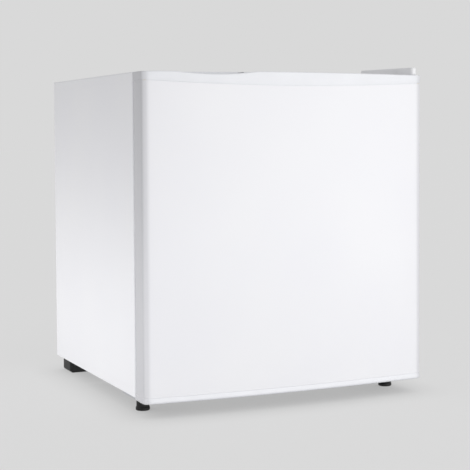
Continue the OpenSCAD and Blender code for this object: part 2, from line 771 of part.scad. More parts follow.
// Aluminium box with rounded corners, open in front, with channels blown into its sheet
module evaporator() color(alu) place() difference() {
  union() {
    translate([ice_x + ice_w / 2, 0, 0]) bar_y(ice_w, ice_low, ice_top, ice_y, ice_back, ice_r);
    for (y = [ice_y + 24:30:ice_back - 12]) channel_loop(y);
  }
  translate([ice_x + ice_w / 2, 0, 0])
    bar_y(ice_w - 2 * ice_t, ice_low + ice_t, ice_top - ice_t, ice_y - 1, ice_back - ice_t, ice_r - ice_t);
  evaporator_screw_places() translate([0, 0, -20]) cylinder(r = 1.6 + slack, h = 30);
}

module evaporator_hangers() color(white) place() evaporator_screw_places() difference() {
  translate([0, 0, ice_top - room_high]) cylinder(r = 8, h = room_high - ice_top);
  translate([0, 0, -20]) cylinder(r = 1.6 + slack, h = 30);
}

module evaporator_screws() color(zinc) place() evaporator_screw_places()
  translate([0, 0, ice_top - ice_t - room_high]) mirror([0, 0, 1]) screw(room_high - ice_top + ice_t + 14, 3.6, 1.6);

// Moulded frame round the evaporator's mouth, with an ear at each end of the flap's hinge
module ice_bezel() color(white) place() {
  translate([ice_x + ice_w / 2, 0, 0]) difference() {
    bar_y(ice_w + 2 * bezel_t, ice_low - bezel_t, ice_top + bezel_t, ice_y - 1.5, ice_y + 12, ice_r + bezel_t);
    bar_y(ice_w, ice_low, ice_top, ice_y, ice_y + 13, ice_r);
    bar_y(ice_w - 12, ice_low + 6, ice_top - 6, ice_y - 5, ice_y + 1, ice_r - 4);
  }
  for (x = [ice_x - bezel_t, ice_x + ice_w + bezel_t - ear_t]) difference() {
    along_x(x, x + ear_t) hull() {
      translate([flap_axis_y, flap_axis_z]) circle(4, $fn = 32);
      translate([ice_y - 1.5, flap_axis_z - 8]) square([1, 12]);
    }
    translate([x - 1, flap_axis_y, flap_axis_z]) rotate([0, 90, 0]) cylinder(r = flap_pin_r + fit, h = ear_t + 2);
  }
}

// Lift-up flap with its hinge knuckle, stiffening frame and grip
module ice_flap() color(white) place() {
  x0 = ice_x - bezel_t + ear_t + 0.8;
  x1 = ice_x + ice_w + bezel_t - ear_t - 0.8;
  low = flap_axis_z - flap_len;
  difference() {
    along_y(flap_axis_y - flap_t / 2, flap_axis_y + flap_t / 2) translate([x0, low]) rounded(x1 - x0, flap_len, 5);
    along_y(flap_axis_y - flap_t / 2 - 1, flap_axis_y - flap_t / 2 + 1.2)
      translate([x0 + 10, low + 22]) rounded(x1 - x0 - 20, flap_len - 34, 6);
  }
  translate([x0, flap_axis_y, flap_axis_z]) rotate([0, 90, 0]) cylinder(r = knuckle_r, h = x1 - x0);
  translate([x0 - ear_t + 0.2, flap_axis_y, flap_axis_z]) rotate([0, 90, 0])
    cylinder(r = flap_pin_r, h = x1 - x0 + 2 * ear_t - 0.4);
  along_x((x0 + x1) / 2 - 34, (x0 + x1) / 2 + 34) {
    translate([flap_axis_y - flap_t / 2 - 5, low + 12]) square([5.5, 2]);
    translate([flap_axis_y - flap_t / 2 - 5, low + 11.5]) circle(2.5);
  }
}

// ---------- thermostat ----------

housing_w = room_x - (ice_x + ice_w) - 33;   // fills the room beside the evaporator
housing_d = 96;
housing_t = 2;
dial_x = ice_x + ice_w + 16 + housing_w / 2;
dial_y = ice_y + 14;
dial_z = room_high - 26;

module thermostat_stud() translate([dial_x, dial_y + 52, dial_z + 13]) cylinder(r = 1.6, h = room_high - dial_z);

// Moulded housing under the ceiling, open above
module thermostat_housing() color(white) place() difference() {
  along_y(dial_y, dial_y + housing_d) difference() {
    translate([dial_x - housing_w / 2, dial_z - 24]) rounded(housing_w, 60, 10);
    translate([dial_x - housing_w, room_high]) square([2 * housing_w, 40]);
  }
  along_y(dial_y + housing_t, dial_y + housing_d - housing_t)
    translate([dial_x - housing_w / 2 + housing_t, dial_z - 24 + housing_t])
      rounded(housing_w - 2 * housing_t, 80, 10 - housing_t);
  translate([dial_x, dial_y - 1, dial_z]) rotate([-90, 0, 0]) cylinder(r = 3 + fit, h = 5);
}

// Switch body behind the dial, with the bush that the spindle turns in
module thermostat_switch() color(zinc) place() {
  difference() {
    translate([dial_x - 16, dial_y + 14, dial_z - 14]) cube([32, 46, 28]);
    translate([dial_x, dial_y + 13, dial_z]) rotate([-90, 0, 0]) cylinder(r = 3 + fit, h = 8);
  }
  thermostat_stud();
}

// Knob with finger flutes, a pointer rib and its spindle
module thermostat_knob() color(white) place() translate([dial_x, dial_y - 0.6, dial_z]) rotate([90, 0, 0]) {
  difference() {
    union() {
      cylinder(r = knob_r, h = 3);
      translate([0, 0, 3]) cylinder(r1 = knob_r - 1.5, r2 = knob_r - 3, h = 10);
    }
    for (a = [0:30:359]) rotate(a) translate([knob_r + 0.4, 0, 4]) cylinder(r = 2.8, h = 20, $fn = 24);
  }
  translate([-1, 4, 12.5]) cube([2, knob_r - 8, 1.2]);
  translate([0, 0, -20]) cylinder(r = 3, h = 20.5);
}

// ---------- shelf and tray ----------

rail_z = shelf_z + rib_seat + frame_r;
rail_x = room_x - ledge_out + frame_r;

// White-coated wire shelf: a frame rod, two cross rods and rows of wires
module wire_shelf() color(white) place() {
  tube([[0, shelf_front + 4, rail_z], [-rail_x, shelf_front + 4, rail_z], [-rail_x, shelf_back, rail_z],
        [rail_x, shelf_back, rail_z], [rail_x, shelf_front + 4, rail_z], [0, shelf_front + 4, rail_z]], frame_r, 16);
  for (y = [shelf_front + 84, shelf_back - 70])
    translate([-rail_x, y, rail_z]) rotate([0, 90, 0]) cylinder(r = 2, h = 2 * rail_x, $fn = 24);
  n = floor((rail_x - 12) / rod_pitch);
  for (i = [-n:n]) translate([i * rod_pitch, shelf_front + 4, rail_z + 1.6]) rotate([-90, 0, 0])
    cylinder(r = rod_r, h = shelf_back - shelf_front - 4, $fn = 24);
}

// Moulded strip clipped over the shelf's front rod
module shelf_trim() color(white) place() along_x(-rail_x + 18, rail_x - 18) difference() {
  translate([shelf_front - 3, rail_z - 9]) rounded(14, 13.5, 3);
  translate([shelf_front + 4, rail_z]) circle(frame_r);
  translate([shelf_front + 4, rail_z - frame_r]) square([20, frame_r + 1.6 + rod_r]);
  translate([shelf_front - 1, rail_z - 10]) square([10, 6]);
}

// Shallow tray hung on the upper ledges, with a grip along its front
module drip_tray() color(liner_white) place() {
  half = room_x - ledge_out - 2;
  z1 = tray_z + rib_seat + rack_t;
  difference() {
    union() {
      along_z(z1 - tray_h, z1) translate([-half, tray_front]) rounded(2 * half, tray_back - tray_front, 10);
      along_z(z1 - rack_t, z1) translate([-room_x + 3, tray_front + 10])
        rounded(room_w - 6, tray_back - tray_front - 10, 6);
      along_x(-70, 70) translate([tray_front - 8, z1 - rack_t]) rounded(12, rack_t, 0.9);
    }
    along_z(z1 - tray_h + rack_t, z1 + 1) translate([-half + rack_t, tray_front + rack_t])
      rounded(2 * (half - rack_t), tray_back - tray_front - 2 * rack_t, 8);
  }
}

// ---------- door ----------

// Plan of the door inset by g, with a bowed front and round corners, its back at y
module door_plan(g, y) {
  tx = corner_x * (bow_r - g) / (bow_r - corner_r);
  intersection() {
    translate([0, bow_y]) circle(bow_r - g, $fn = 1440);
    translate([-tx, -door_out - 1]) square([2 * tx, door_out + 1 + y]);
  }
  translate([-door_w / 2 + g, corner_y]) square([door_w - 2 * g, y - corner_y]);
  for (s = [-1, 1]) translate([s * corner_x, corner_y]) circle(corner_r - g);
}

// Everything above the top cap's curved seam
module above_seam() translate([0, 10, seam_z + seam_r]) rotate([90, 0, 0]) cylinder(r = seam_r, h = 80, $fn = 1440);

// Bowed steel skin with its edges folded in behind
module door_skin() color(white) place() difference() {
  along_z(skin_low, door_top - cap_end) door_plan(cap_proud, -flange_y);
  along_z(skin_low - 1, door_top) door_plan(skin_g, -flange_y - steel);
  span([-door_w / 2 + skin_fold, -flange_y - 3, 0], [door_w / 2 - skin_fold, 0, big]);
  above_seam();
}

module pin_places(z) translate([0, 0, z]) for (s = [-1, 1]) translate([s * pin_x, -pin_out, 0]) children();

// Plan of the grip pocket
module grip_plan() translate([-door_w / 2 + 58, -38]) rounded(grip_l, 16, 6);

// Solid pad under the grip pocket, its outline inset by g
module grip_pad(g) intersection() {
  along_z(door_top - 12, door_top - 1) door_plan(g, -door_gap - g);
  span([-door_w / 2 + 50, -big, 0], [-door_w / 2 + 66 + grip_l, -18, big]);
}

// Moulded top cap with hinge bosses and a grip pocket at the opening side
module door_top_cap() color(white) place() difference() {
  union() {
    difference() {
      intersection() {
        along_z(seam_z - 1, door_top) door_plan(0, -door_gap);
        above_seam();
      }
      along_z(0, door_top - cap_wall) door_plan(cap_wall, -door_gap - cap_wall);
    }
    span([-back_x, -door_gap - cap_wall, seam_z], [back_x, -door_gap, door_top - 1]);
    pin_places(door_top - pin_deep - 0.8) cylinder(r = boss_r, h = pin_deep);
    grip_pad(1);
  }
  pin_places(door_top - 15) cylinder(r = bush_r, h = 20);
  along_z(door_top - 9.4, door_top + 1) grip_plan();
  translate([-door_w / 2 + 58 + grip_l / 2, -30, door_top - grip_dip + dip_r]) rotate([90, 0, 0])
    cylinder(r = dip_r, h = 40, $fn = 720);
}

module door_bottom_cap() color(white) place() difference() {
  union() {
    difference() {
      along_z(door_base, skin_low) door_plan(0, -door_gap);
      along_z(door_base + cap_wall, skin_low + 1) door_plan(cap_wall, -door_gap - cap_wall);
    }
    pin_places(door_base + 1) cylinder(r = boss_r, h = cap_low - 1);
  }
  pin_places(door_base - 1) cylinder(r = bush_r, h = 20);
}

// The hollow inside the raised frame, grown by g, round the upright ridge
module well(g) difference() {
  bar_y(2 * (well_x + g), well_low - g, well_high + g, -well_y - g, dike_out + 1, 8 + g);
  bar_y(ridge_w - 2 * g, can_z - 14 + g, well_high + 5, -well_y - g - 1, ridge_out - g, 4 - g);
}

// Solid form under the door liner's face, sunk by g
module liner_form(g) difference() {
  union() {
    span([-door_w / 2 + 3, -flange_y - 12, skin_low + slack], [door_w / 2 - 3, -door_gap - g, seam_z - slack]);
    bar_y(2 * (dike_x - g), dike_low + g, dike_high - g, -door_gap - 5, dike_out - g, 12 - g);
  }
  well(g);
}

// Side, direction and height of each lug that a rack hooks over
lugs = [
  [-well_x, 1, bottle_z + 30], [well_x, -1, bottle_z + 30],
  [-well_x, 1, can_z + 30], [-ridge_w / 2, -1, can_z + 30],
];

// Vacuum-formed inner face with a raised frame, a ridge and lugs for the racks
module door_liner() color(liner_white) place() {
  difference() {
    liner_form(0);
    liner_form(liner_t);
  }
  for (l = lugs) along_x(min(l[0] - l[1], l[0] + l[1] * lug_out), max(l[0] - l[1], l[0] + l[1] * lug_out))
    translate([lug_y, l[2]]) circle(lug_r);
}

module door_foam() color(foam_cream) place() difference() {
  union() {
    along_z(door_base + cap_wall, door_top - cap_wall) door_plan(cap_wall, -flange_y - steel);
    difference() {
      along_z(skin_low, door_top - cap_end) door_plan(skin_g, -flange_y - steel);
      above_seam();
    }
    intersection() {
      liner_form(liner_t);
      span([-door_w / 2 + skin_fold + 1, -30, skin_low + 1], [door_w / 2 - skin_fold - 1, big, seam_z - 1]);
    }
  }
  well(liner_t);
  pin_places(door_top - pin_deep - 0.8) cylinder(r = boss_r, h = 30);
  pin_places(0) cylinder(r = boss_r, h = skin_low);
  pin_places(0) cylinder(r = pin_r + 1, h = door_base + pin_deep + 1);
  pin_places(door_top - pin_deep - 2) cylinder(r = pin_r + 1, h = 10);
  grip_pad(0);
  span([-back_x, -door_gap - cap_wall, seam_z], [back_x, 0, door_top]);
}

// Magnetic seal: a narrow root under a wide soft face
module door_gasket() color(liner_white) place() {
  face_x = room_x + gasket_in + gasket_w;
  low = room_low - gasket_in - gasket_w;
  high = room_high + gasket_in + gasket_w;
  ring_y(2 * face_x, low, high, -3.4, -0.3, 5, gasket_w);
  ring_y(2 * face_x - 8, low + 4, high - 4, -door_gap, -3.4, 4, gasket_w - 8);
}

// Plain bushes that the hinge pins turn in
module door_bushes() color(zinc) place() translate([pin_x, -pin_out, 0]) difference() {
  union() {
    translate([0, 0, door_top - pin_deep - 0.8]) cylinder(r = bush_r, h = pin_deep + 0.8);
    translate([0, 0, door_top]) cylinder(r = boss_r, h = 0.5);
    translate([0, 0, door_base]) cylinder(r = bush_r, h = cap_low);
    translate([0, 0, door_base - 0.5]) cylinder(r = boss_r, h = 0.5);
  }
  cylinder(r = pin_r + fit, h = big);
}

// Plugs in the spare hinge holes at the door's other end
module door_plugs() color(white) place() translate([-pin_x, -pin_out, 0]) {
  translate([0, 0, door_top - 6]) cylinder(r = bush_r, h = 6);
  translate([0, 0, door_top]) cylinder(r1 = 6.5, r2 = 5.5, h = 0.6);
  translate([0, 0, door_base]) cylinder(r = bush_r, h = 6);
  translate([0, 0, door_base - 0.6]) cylinder(r1 = 5.5, r2 = 6.5, h = 0.6);
}

// ---------- door racks ----------

// Open-topped form between two corners: its upright edges are round to r, its lower edges
// to e at the ends and to f in front and behind
module tub(a, b, r, e, f) intersection() {
  along_z(a[2], b[2]) translate([a[0], a[1]]) rounded(b[0] - a[0], b[1] - a[1], r);
  along_y(a[1], b[1]) translate([a[0], a[2]]) rounded(b[0] - a[0], b[2] - a[2] + 2 * e, e);
  along_x(a[0], b[0]) translate([a[1], a[2]]) rounded(b[1] - a[1], b[2] - a[2] + 2 * f, f);
}

// Moulded rack between x0 and x1 with its floor at z0, slotted over the lugs at both ends
module rack(x0, x1, z0, h) {
  y0 = -well_y + 0.8;
  difference() {
    tub([x0, y0, z0], [x1, rack_out, z0 + h], 12, 8, 3);
    tub([x0 + rack_t, y0 + rack_t, z0 + rack_t], [x1 - rack_t, rack_out - rack_t, z0 + h + 1],
        12 - rack_t, 8 - rack_t, 3 - rack_t);
    along_x(x0 - 1, x1 + 1) {
      translate([lug_y, z0 + 30]) circle(lug_r + 0.3);
      translate([lug_y - lug_r - 0.3, z0 - 1]) square([2 * lug_r + 0.6, 31]);
    }
    along_x(x0 - 1, x1 + 1) translate([lug_y + 22, z0 + h - 14]) rounded(rack_out, 40, 8);
  }
}

module can_rack() color(liner_white) place() rack(-well_x + 0.5, -ridge_w / 2 - 0.5, can_z, can_h);
module bottle_rack() color(liner_white) place() rack(-well_x + 0.5, well_x - 0.5, bottle_z, bottle_h);

outer_wrap();
rear_panel();
bottom_panel();
bay_panel();
foam_insulation();
inner_liner();
upper_hinge();
lower_hinge();
left_foot_plate();
hinge_cover();
hinge_screws();
hole_plugs();
foot_inserts();
left_foot();
right_foot();
rear_feet();
crossmember();
compressor_lower_shell();
compressor_upper_shell();
compressor_pump();
compressor_grommets();
compressor_bolts();
relay_cover();
cable_inlet();
suction_pipe();
discharge_pipe();
filter_drier();
capillary_tube();
condenser_tube();
condenser_wires();
condenser_clips();
condenser_screws();
evaporator();
evaporator_hangers();
evaporator_screws();
ice_bezel();
ice_flap();
thermostat_housing();
thermostat_switch();
thermostat_knob();
wire_shelf();
shelf_trim();
drip_tray();
door_skin();
door_top_cap();
door_bottom_cap();
door_foam();
door_liner();
door_gasket();
door_bushes();
door_plugs();
can_rack();
bottle_rack();
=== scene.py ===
import math

import bmesh
import bpy
import numpy as np
from mathutils import Matrix, Vector


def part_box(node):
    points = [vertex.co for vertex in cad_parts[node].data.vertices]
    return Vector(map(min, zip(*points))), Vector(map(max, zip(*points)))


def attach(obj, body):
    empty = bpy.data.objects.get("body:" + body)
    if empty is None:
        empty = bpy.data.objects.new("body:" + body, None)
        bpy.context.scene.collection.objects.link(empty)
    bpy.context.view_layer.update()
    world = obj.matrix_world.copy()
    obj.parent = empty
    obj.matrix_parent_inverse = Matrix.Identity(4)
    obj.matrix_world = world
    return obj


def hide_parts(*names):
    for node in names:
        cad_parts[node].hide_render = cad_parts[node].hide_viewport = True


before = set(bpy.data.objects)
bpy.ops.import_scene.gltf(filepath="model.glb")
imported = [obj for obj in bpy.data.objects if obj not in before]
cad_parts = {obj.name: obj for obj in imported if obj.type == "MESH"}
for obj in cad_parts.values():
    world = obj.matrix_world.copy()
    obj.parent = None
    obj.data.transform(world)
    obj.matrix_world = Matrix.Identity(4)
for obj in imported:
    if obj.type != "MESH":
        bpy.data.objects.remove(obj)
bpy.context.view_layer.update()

scene = bpy.context.scene
scene.view_settings.view_transform = "Standard"

# ---------------------------------------------------------------- camera

EYE = Vector((-0.8368, -1.8811, 0.4042))
YAW = 0.4248                     # radians to the right of straight ahead
PITCH = 0.0469                   # radians downwards
ROLL = -0.0053
LENS = 96.51                     # mm on a 36 mm wide film
RISE = -0.09                     # film shift that keeps the uprights nearly parallel

ahead = Vector((math.sin(YAW) * math.cos(PITCH), math.cos(YAW) * math.cos(PITCH), -math.sin(PITCH)))
level = Vector((math.cos(YAW), -math.sin(YAW), 0))
right = Matrix.Rotation(-ROLL, 3, ahead) @ level
up = right.cross(ahead)
camera = bpy.data.objects.new("camera", bpy.data.cameras.new("camera"))
camera.data.lens = LENS
camera.data.shift_y = RISE
camera.data.clip_end = 50        # metres
camera.matrix_world = Matrix((right, up, -ahead)).transposed().to_4x4()
camera.location = EYE
scene.collection.objects.link(camera)
scene.camera = camera

# ---------------------------------------------------------------- tools for materials


def linear(code):
    """Linear colour of an sRGB hex code.

    Each value c becomes c / 12.92 up to 0.04045, and ((c + 0.055) / 1.055) to the power 2.4 above it.
    """
    values = [int(code[i:i + 2], 16) / 255 for i in (1, 3, 5)]
    return tuple(c / 12.92 if c <= 0.04045 else ((c + 0.055) / 1.055) ** 2.4 for c in values) + (1.0,)


def add(tree, kind, inputs=None, **settings):
    """Adds a node. settings are its properties, inputs gives each socket a value or another node's output."""
    made = tree.nodes.new(kind)
    for name, value in settings.items():
        setattr(made, name, value)
    for key, value in (inputs or {}).items():
        if isinstance(value, bpy.types.NodeSocket):
            tree.links.new(value, made.inputs[key])
        else:
            made.inputs[key].default_value = value
    return made


def ramp(tree, factor, stops):
    """Adds a colour ramp through (place, hex code or grey) stops."""
    made = add(tree, "ShaderNodeValToRGB", {0: factor})
    while len(made.color_ramp.elements) < len(stops):
        made.color_ramp.elements.new(0.5)
    for element, (place, tone) in zip(made.color_ramp.elements, stops):
        element.position = place
        element.color = linear(tone) if isinstance(tone, str) else (tone, tone, tone, 1.0)
    return made.outputs[0]


def start(name):
    """Starts a material: its tree, its shader and the object's coordinates."""
    material = bpy.data.materials.new(name)
    material.use_nodes = True
    tree = material.node_tree
    tree.nodes.clear()
    shader = add(tree, "ShaderNodeBsdfPrincipled")
    add(tree, "ShaderNodeOutputMaterial", {0: shader.outputs[0]})
    place = add(tree, "ShaderNodeTexCoord").outputs["Object"]
    return material, tree, shader, place


def plain(shader, **values):
    """Sets uniform values on the shader's own sockets, whose names are written with _ for a space."""
    for name, value in values.items():
        shader.inputs[name.replace("_", " ")].default_value = value


MM = 1000.0                      # noise scale 1 is one cell a metre, so MM / size gives cells of that many mm

# ---------------------------------------------------------------- finishes

DOOR_SIDE_PAINTED_SHADE = "#C6C6CA"            # painted shade: a grey that stands in for the shade on the door's side edges


def paint_side_shade(tree, body, tone):
    """Paints shade: turns the colour body to the grey tone where a face looks sideways, standing in for the
    shade on the door's side edges.
    """
    facing = add(tree, "ShaderNodeTexCoord").outputs["Normal"]
    across = add(tree, "ShaderNodeSeparateXYZ", {0: facing})
    turned = add(tree, "ShaderNodeMath", {0: across.outputs[0]}, operation="ABSOLUTE")
    side_shade_mask = ramp(tree, turned.outputs[0], [(0.12, 0.0), (0.3, 0.45), (0.6, 0.52), (0.95, 1.0)])
    return add(tree, "ShaderNodeMix", {0: side_shade_mask, 6: body, 7: linear(tone)}, data_type="RGBA").outputs[2]


def stoved_enamel(name, edge=None):
    """White enamel, sprayed on folded steel and stoved.

    It is glossy, with a faint orange peel of about 4 mm that softens reflections. Its tone drifts slowly.
    """
    material, tree, shader, place = start(name)
    drift = add(tree, "ShaderNodeTexNoise", {"Vector": place, "Scale": MM / 140, "Detail": 1.0})
    body = ramp(tree, drift.outputs[0], [(0.3, "#EFEFF2"), (0.7, "#EDEDF1")])
    # painted shade: faces that look sideways turn to the grey edge tone
    if edge:
        body = paint_side_shade(tree, body, edge)
    tree.links.new(body, shader.inputs["Base Color"])
    peel = add(tree, "ShaderNodeTexNoise", {"Vector": place, "Scale": MM / 4, "Detail": 2.0})
    bump = add(tree, "ShaderNodeBump", {"Height": peel.outputs[0], "Strength": 0.04, "Distance": 0.4 / MM})
    tree.links.new(bump.outputs[0], shader.inputs["Normal"])
    plain(shader, Roughness=0.3, IOR=1.5)
    return material


def moulded(name, light, dark, rough, grain, depth, ior=1.5, edge=None):
    """Plastic, rubber, foam or lacquer from light to dark tone.

    Its surface has pits of grain mm across and depth mm deep, which also change its gloss a little. Its tone
    drifts over about 45 mm, as it does where a melt cools unevenly.
    """
    material, tree, shader, place = start(name)
    drift = add(tree, "ShaderNodeTexNoise", {"Vector": place, "Scale": MM / 45, "Detail": 2.0})
    body = ramp(tree, drift.outputs[0], [(0.35, light), (0.68, dark)])
    # painted shade: faces that look sideways turn to the grey edge tone
    if edge:
        body = paint_side_shade(tree, body, edge)
    tree.links.new(body, shader.inputs["Base Color"])
    pits = add(tree, "ShaderNodeTexNoise", {"Vector": place, "Scale": MM / grain, "Detail": 3.0})
    limits = {1: 0.3, 2: 0.7, 3: rough - 0.01, 4: rough + 0.01}
    gloss = add(tree, "ShaderNodeMapRange", {0: pits.outputs[0]} | limits)
    tree.links.new(gloss.outputs[0], shader.inputs["Roughness"])
    bump = add(tree, "ShaderNodeBump", {"Height": pits.outputs[0], "Strength": 0.1, "Distance": depth / MM})
    tree.links.new(bump.outputs[0], shader.inputs["Normal"])
    plain(shader, IOR=ior)
    return material


def metal(name, light, dark, rough, grain, stretch=(1, 1, 1), depth=0.02, kind="noise"):
    """Bare metal with noise or crystal cells of grain mm, drawn out by stretch the way it was worked."""
    material, tree, shader, place = start(name)
    scaled = add(tree, "ShaderNodeMapping", {0: place, 3: stretch}).outputs[0]
    if kind == "cells":
        grid = add(tree, "ShaderNodeTexVoronoi", {"Vector": scaled, "Scale": MM / grain})
        pattern = add(tree, "ShaderNodeSeparateXYZ", {0: grid.outputs["Color"]}).outputs[0]
    else:
        noise = add(tree, "ShaderNodeTexNoise", {"Vector": scaled, "Scale": MM / grain, "Detail": 4.0})
        pattern = noise.outputs[0]
    tree.links.new(ramp(tree, pattern, [(0.25, light), (0.75, dark)]), shader.inputs["Base Color"])
    gloss = add(tree, "ShaderNodeMapRange", {0: pattern, 3: rough - 0.08, 4: rough + 0.1})
    tree.links.new(gloss.outputs[0], shader.inputs["Roughness"])
    bump = add(tree, "ShaderNodeBump", {"Height": pattern, "Strength": 0.12, "Distance": depth / MM})
    tree.links.new(bump.outputs[0], shader.inputs["Normal"])
    plain(shader, Metallic=1.0)
    return material


FINISHES = {
    # Steel sheet, folded and stove enamelled
    "white_enamel": stoved_enamel("white_enamel"),
    # The same enamel on the door's steel front, with painted shade on its sideways faces
    "door_enamel_painted_side_shade": stoved_enamel("door_enamel_painted_side_shade", DOOR_SIDE_PAINTED_SHADE),
    # ABS, injection moulded with a fine grain
    "white_abs": moulded("white_abs", "#EFEFF1", "#ECECEE", 0.33, 1.2, 0.03),
    # The same ABS on the door's caps, with painted shade greying their ends as on the door's edges
    "door_abs_painted_side_shade": moulded("door_abs_painted_side_shade", "#ECEDF1", "#E9EAEE", 0.33, 1.2, 0.03, edge=DOOR_SIDE_PAINTED_SHADE),
    # High-impact polystyrene sheet, vacuum formed: glossy, slightly bluish
    "liner_polystyrene": moulded("liner_polystyrene", "#EEF0F3", "#E9ECF0", 0.3, 9.0, 0.012),
    # Polystyrene of racks, tray and ice box front, injection moulded
    "fitting_polystyrene": moulded("fitting_polystyrene", "#F0F1F3", "#E9EBEE", 0.3, 2.5, 0.03),
    # Black polypropylene, injection moulded
    "black_polypropylene": moulded("black_polypropylene", "#0B0B0C", "#070708", 0.5, 1.0, 0.06, 1.49),
    # Rubber, moulded and dull, with a dusty bloom
    "black_rubber": moulded("black_rubber", "#242426", "#171718", 0.72, 2.0, 0.1, 1.52),
    # Soft PVC, extruded
    "gasket_vinyl": moulded("gasket_vinyl", "#DCDDE0", "#D2D3D7", 0.55, 3.0, 0.04, 1.53),
    # Acetal, turned smooth
    "acetal": moulded("acetal", "#EDEBE4", "#E4E2DA", 0.35, 2.0, 0.02, 1.48),
    # Rigid polyurethane foam, cream, blown in place
    "polyurethane_foam": moulded("polyurethane_foam", "#E7D9A8", "#D5C48C", 0.85, 3.0, 0.4, 1.45),
    # Black lacquer sprayed on the pot, tube and wires
    "black_lacquer": moulded("black_lacquer", "#161617", "#0E0E0F", 0.3, 3.0, 0.05),
    # Polyethylene powder coat on steel wire
    "coated_wire": moulded("coated_wire", "#F1F2F3", "#E6E7E9", 0.28, 6.0, 0.05),
    # Hot-dip galvanised sheet with zinc flowers of about 8 mm
    "galvanised_sheet": metal("galvanised_sheet", "#C6C9CC", "#B0B4B8", 0.38, 8.0, kind="cells"),
    # Steel, pressed and zinc plated: bright, slightly blue
    "zinc_plate": metal("zinc_plate", "#D2D5DA", "#B9BDC4", 0.3, 5.0),
    # Grey cast iron, as cast
    "cast_iron": metal("cast_iron", "#6C6C6E", "#4C4C4E", 0.6, 2.0, depth=0.2),
    # Drawn copper tube, dulled in patches
    "copper_tube": metal("copper_tube", "#C98A68", "#8E5238", 0.32, 14.0, stretch=(1, 1, 0.4)),
    # Rolled aluminium sheet, etched matt, grain from front to back
    "rolled_aluminium": metal("rolled_aluminium", "#DADCDE", "#C3C6C9", 0.4, 2.0, stretch=(1, 0.06, 1)),
}

USES = {
    "white_enamel": ["outer_wrap"],
    "door_enamel_painted_side_shade": ["door_skin"],
    "white_abs": ["hinge_cover", "hole_plugs", "door_plugs"],
    "door_abs_painted_side_shade": ["door_top_cap", "door_bottom_cap"],
    "liner_polystyrene": ["inner_liner", "door_liner"],
    "fitting_polystyrene": [
        "can_rack", "bottle_rack", "drip_tray", "ice_bezel", "ice_flap", "evaporator_hangers",
        "thermostat_housing", "thermostat_knob", "shelf_trim"],
    "black_polypropylene": ["left_foot", "right_foot", "rear_feet", "relay_cover", "condenser_clips"],
    "black_rubber": ["compressor_grommets", "cable_inlet"],
    "gasket_vinyl": ["door_gasket"],
    "acetal": ["door_bushes"],
    "polyurethane_foam": ["foam_insulation", "door_foam"],
    "black_lacquer": [
        "compressor_lower_shell", "compressor_upper_shell", "condenser_tube", "condenser_wires"],
    "coated_wire": ["wire_shelf"],
    "galvanised_sheet": ["rear_panel", "bottom_panel", "bay_panel", "crossmember"],
    "zinc_plate": [
        "upper_hinge", "lower_hinge", "left_foot_plate", "hinge_screws", "foot_inserts",
        "compressor_bolts", "condenser_screws", "evaporator_screws", "thermostat_switch"],
    "cast_iron": ["compressor_pump"],
    "copper_tube": ["suction_pipe", "discharge_pipe", "filter_drier", "capillary_tube"],
    "rolled_aluminium": ["evaporator"],
}
for finish, names in USES.items():
    for name in names:
        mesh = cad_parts[name].data
        mesh.materials.clear()
        mesh.materials.append(FINISHES[finish])

# ---------------------------------------------------------------- the door's outer pieces

CAP_LOW, CAP_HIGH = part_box("door_top_cap")
SKIN_LOW, SKIN_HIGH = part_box("door_skin")
SILL_LOW, SILL_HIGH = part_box("door_bottom_cap")
HALF = CAP_HIGH[0]               # half the door's width
FRONT = CAP_LOW[1]               # middle of the bowed front
BACK = CAP_HIGH[1]
TOP = CAP_HIGH[2]
BOW = 2.5                        # radius of the bowed front in plan
CORNER_ALONG = 0.013             # reach of the soft front corners along the front
CORNER_BACK = 0.007              # and along the sides
PROUD = 0.001                    # the caps flare out by this much from the skin to the door's ends
SHEET = 0.0008                   # steel of the skin
FOLD = 0.014                     # width of the skin's edges folded in behind
GAP = 0.0002                     # half of the shadow line between a cap and the skin
TONGUE = 0.003                   # reach of the caps' tongue behind the skin
TONGUE_IN = 0.0005               # and its distance behind the skin's face
CROWN = 0.0015                   # rise of the top cap's middle


def bow(x, inset):
    """The bowed front's y: a circle of radius R, y = front + inset + R - sqrt(R^2 - x^2)."""
    return FRONT + inset + BOW - np.sqrt(BOW**2 - x**2)


def seam(x):
    """Height of the top cap's seam: lowest in the middle, rising with the square of x to the ends."""
    return CAP_LOW[2] + (SKIN_HIGH[2] - CAP_LOW[2]) * (x / HALF) ** 2


def front_line(across, inset):
    """The door's front in plan for each inset, from the left side to the right.

    Between the corners it is the bow at the given x. Each corner is a quadratic curve
    (1 - u)^2 A + 2 u (1 - u) B + u^2 C, with A on the side, B where side and bow would meet and C on the bow.
    """
    u = np.linspace(0, 1, 15)[:-1, None]
    side = -(HALF - inset)[None]
    bend = -(HALF - CORNER_ALONG)
    a, b, c = bow(HALF, 0) + CORNER_BACK, bow(side, inset), bow(bend, inset)
    corner_x = (1 - u**2) * side + u**2 * bend
    corner_y = (1 - u) ** 2 * a + 2 * u * (1 - u) * b + u**2 * c
    middle = across[:, None] + 0 * side
    x = np.concatenate([corner_x, middle, -corner_x[::-1]])
    return x, np.concatenate([corner_y, bow(middle, inset), corner_y[::-1]])


SAME = 0.000005                  # points nearer than this are one


